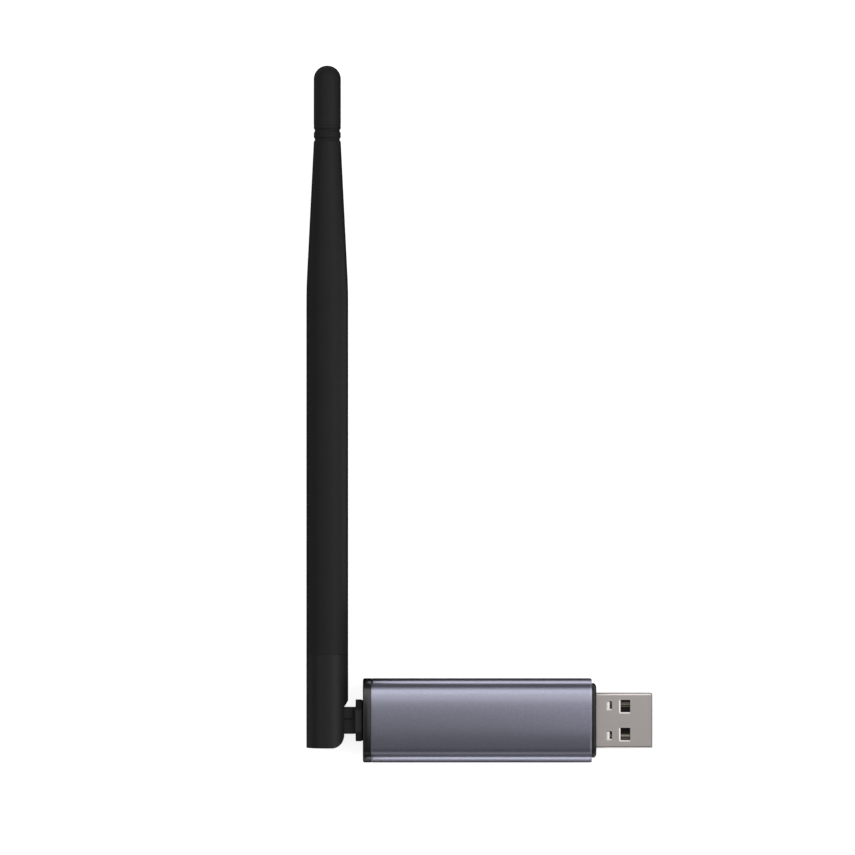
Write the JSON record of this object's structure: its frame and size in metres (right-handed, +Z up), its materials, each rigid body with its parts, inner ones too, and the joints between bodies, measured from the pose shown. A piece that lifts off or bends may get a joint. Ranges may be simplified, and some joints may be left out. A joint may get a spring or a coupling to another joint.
{
  "type": "smart home usb radio stick",
  "caption": "Flat USB radio stick with an anodised aluminium case, a standard plug at one end and a folding, turning rod antenna on a threaded jack at the other.",
  "frame": {"origin": "middle of the case's flat underside, where the stick lies on a table", "axes": "+X along the stick to the plug's front, +Y along the folded antenna to its tip, +Z up"},
  "size_m": [0.0757, 0.1526, 0.011],
  "materials": {
    "anodised_aluminium": "space grey anodised, fine satin",
    "black_cap_plastic": "black moulded, satin",
    "antenna_plastic": "black moulded, matte",
    "nut_black_metal": "black plated brass",
    "plug_steel": "nickel plated sheet steel",
    "screw_steel": "black oxide steel",
    "pin_steel": "bright ground steel",
    "tongue_plastic": "black moulded",
    "gold_contact": "gold plated",
    "jack_brass": "gold plated brass",
    "fluoroplastic": "white turned",
    "board_laminate": "dark green solder mask",
    "chip_plastic": "black moulded",
    "crystal_metal": "plated lid",
    "capacitor_ceramic": "tan fired",
    "led_lens": "milky",
    "switch_plastic": "black moulded",
    "button_plastic": "pale moulded",
    "cable_jacket": "black",
    "radiator_brass": "drawn",
    "spacer_plastic": "natural moulded"
  },
  "bodies": {
    "stick": {"case_shell": "anodised_aluminium", "antenna_end_cap": "black_cap_plastic", "case_screws": "screw_steel", "usb_end_cap": "black_cap_plastic", "usb_shell": "plug_steel", "usb_tongue": "tongue_plastic", "usb_contact_1": "gold_contact", "usb_contact_2": "gold_contact", "usb_contact_3": "gold_contact", "usb_contact_4": "gold_contact", "circuit_board": "board_laminate", "radio_chip": "chip_plastic", "radio_crystal": "crystal_metal", "shield_can": "plug_steel", "bridge_chip": "chip_plastic", "voltage_regulator": "chip_plastic", "bulk_capacitor": "capacitor_ceramic", "status_led": "led_lens", "boot_switch": "switch_plastic", "reset_switch": "switch_plastic", "jack_body": "jack_brass", "jack_insulator": "fluoroplastic", "jack_contact": "gold_contact"},
    "nut": {"coupling_nut": "nut_black_metal"},
    "swivel": {"knuckle": "antenna_plastic", "hinge_pin_upper": "pin_steel", "hinge_pin_lower": "pin_steel", "plug_ferrule": "jack_brass", "plug_insulator": "fluoroplastic", "plug_pin": "gold_contact", "plug_lead": "cable_jacket"},
    "antenna": {"antenna_hub": "antenna_plastic", "antenna_sleeve": "antenna_plastic", "feed_cable": "cable_jacket", "radiator_tube": "radiator_brass", "radiator_rod": "radiator_brass", "spacer_lower": "spacer_plastic", "spacer_upper": "spacer_plastic"},
    "boot_key": {"boot_button": "button_plastic"},
    "reset_key": {"reset_button": "button_plastic"}
  },
  "joints": [
    {"name": "antenna_fold", "type": "hinge", "parent": "swivel", "child": "antenna", "pos_m": [-0.03381, 0, 0.0055], "axis": [0, 0, 1], "range_deg": [0, 90]},
    {"name": "antenna_swivel", "type": "hinge", "parent": "stick", "child": "swivel", "pos_m": [-0.03381, 0, 0.0055], "axis": [1, 0, 0], "continuous": true},
    {"name": "nut_turn", "type": "hinge", "parent": "stick", "child": "nut", "pos_m": [-0.02685, 0, 0.0055], "axis": [1, 0, 0], "continuous": true},
    {"name": "boot_press", "type": "slide", "parent": "stick", "child": "boot_key", "axis": [0, 0, -1], "range_m": [0, 0.00025], "stiffness_N_per_m": 400},
    {"name": "reset_press", "type": "slide", "parent": "stick", "child": "reset_key", "axis": [0, 0, -1], "range_m": [0, 0.00025], "stiffness_N_per_m": 400}
  ]
}
